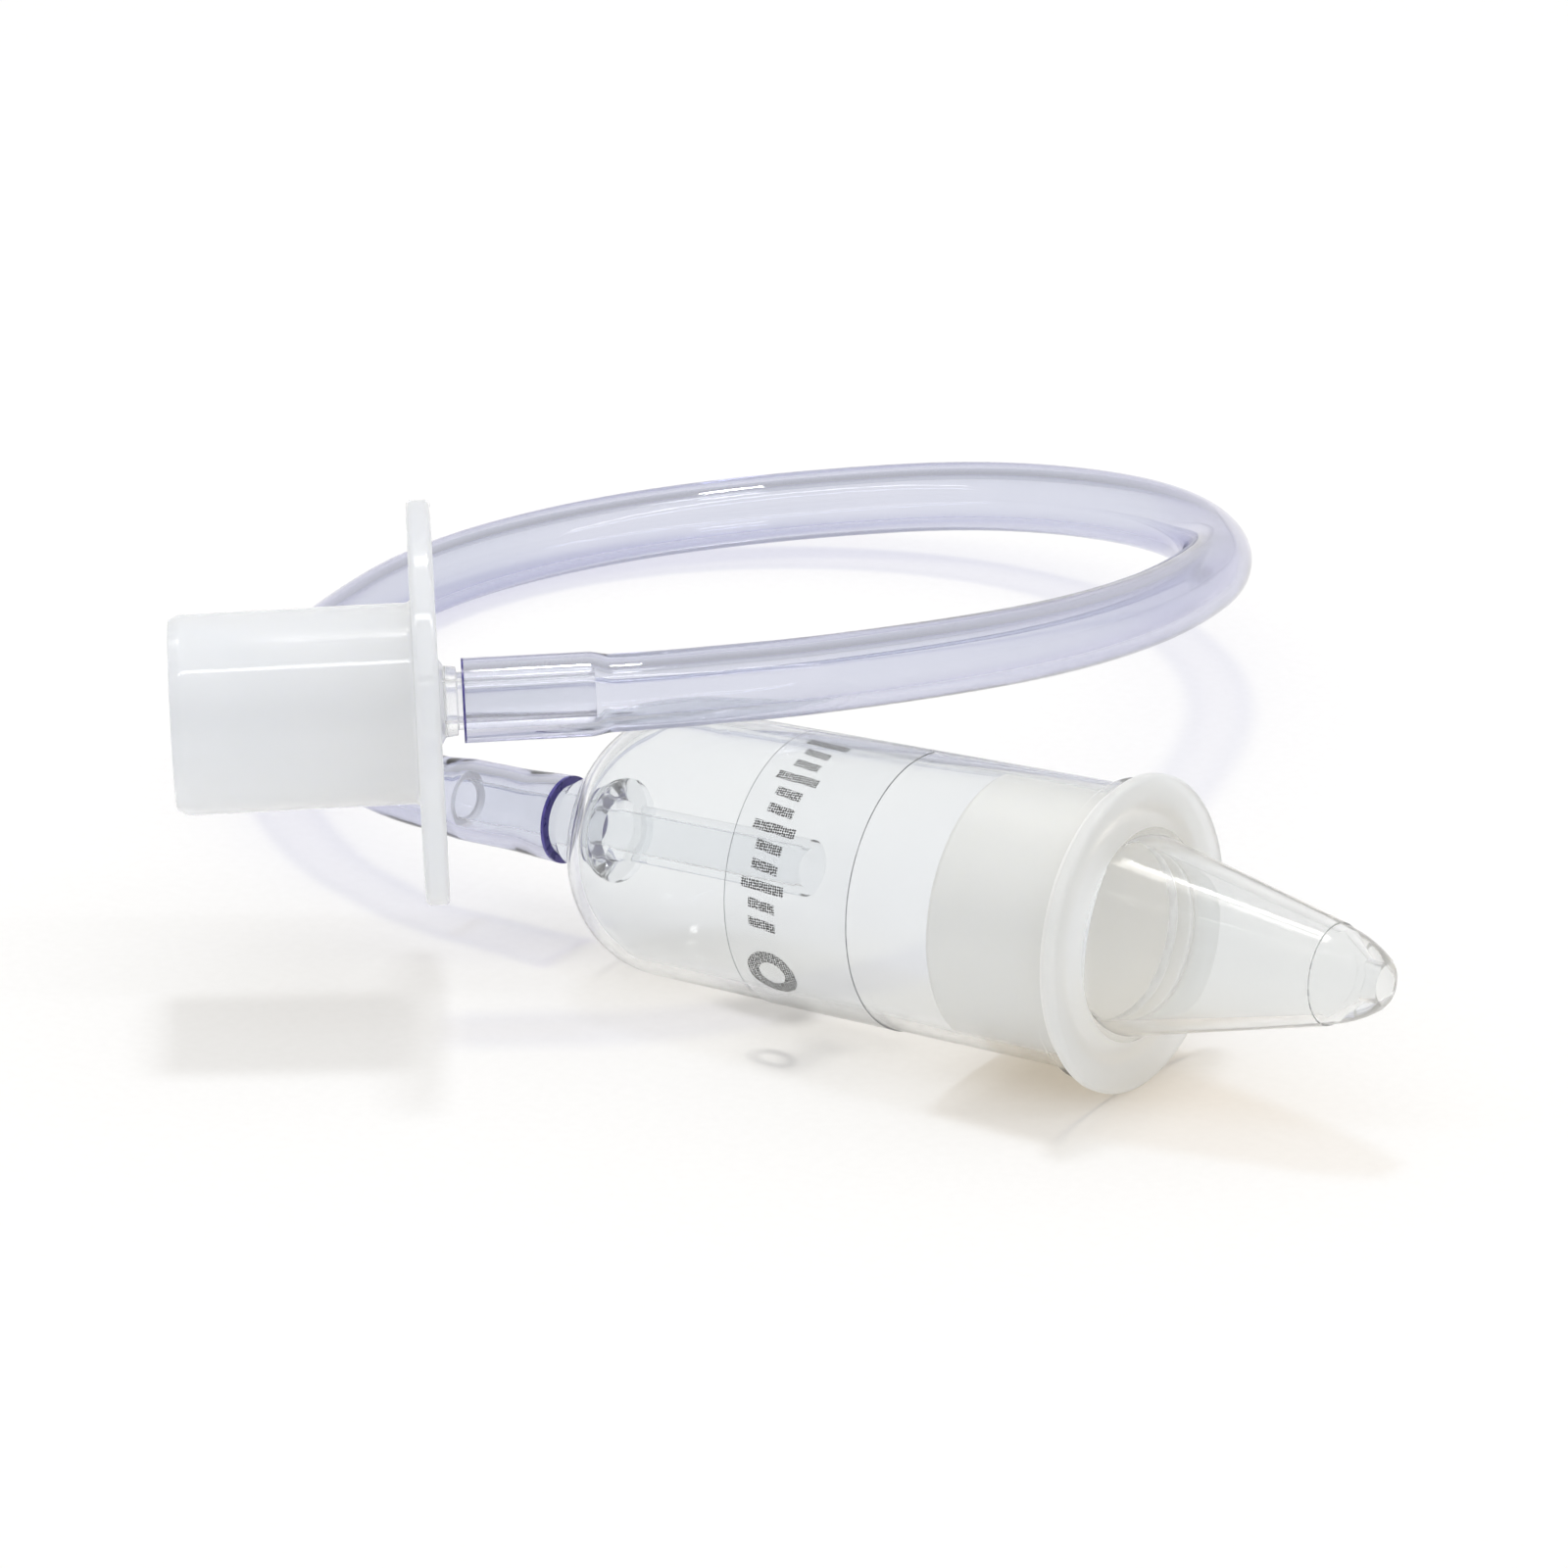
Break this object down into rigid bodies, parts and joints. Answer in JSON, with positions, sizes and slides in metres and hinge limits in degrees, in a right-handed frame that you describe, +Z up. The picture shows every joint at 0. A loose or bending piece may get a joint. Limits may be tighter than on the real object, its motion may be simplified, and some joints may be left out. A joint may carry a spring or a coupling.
{
  "type": "nasal aspirator",
  "caption": "Mouth-suction nasal aspirator: a clear collection chamber with a push-in tapered nozzle, joined by a looped clear tube to a flanged mouthpiece.",
  "frame": {"origin": "on the floor, under the centre of the box round the chamber, nozzle and mouthpiece", "axes": "+X along the chamber towards the nozzle tip, in plan; +Z up from the floor the part lies on; the loop of tube lies towards +Y"},
  "size_m": [0.1737, 0.17, 0.0526],
  "materials": {
    "clear_plastic": "polished clear polypropylene",
    "printed_film": "clear film with a grey halftone print",
    "soft_clear_plastic": "slightly hazy clear moulding",
    "tube_vinyl": "glossy violet-tinted clear vinyl",
    "frosted_plastic": "milky white, satin"
  },
  "bodies": {
    "chamber": {"chamber": "clear_plastic", "suction_pipe": "clear_plastic", "label_film": "printed_film", "hose": "tube_vinyl"},
    "nozzle": {"nozzle": "soft_clear_plastic"},
    "mouthpiece": {"mouthpiece": "frosted_plastic"}
  },
  "joints": [
    {"name": "nozzle_pull", "type": "slide", "parent": "chamber", "child": "nozzle", "axis": [0.9992, 0, 0.0412], "range_m": [0, 0.018]},
    {"name": "mouthpiece_pull", "type": "slide", "parent": "chamber", "child": "mouthpiece", "axis": [-0.796, -0.6042, -0.0349], "range_m": [0, 0.016]}
  ]
}
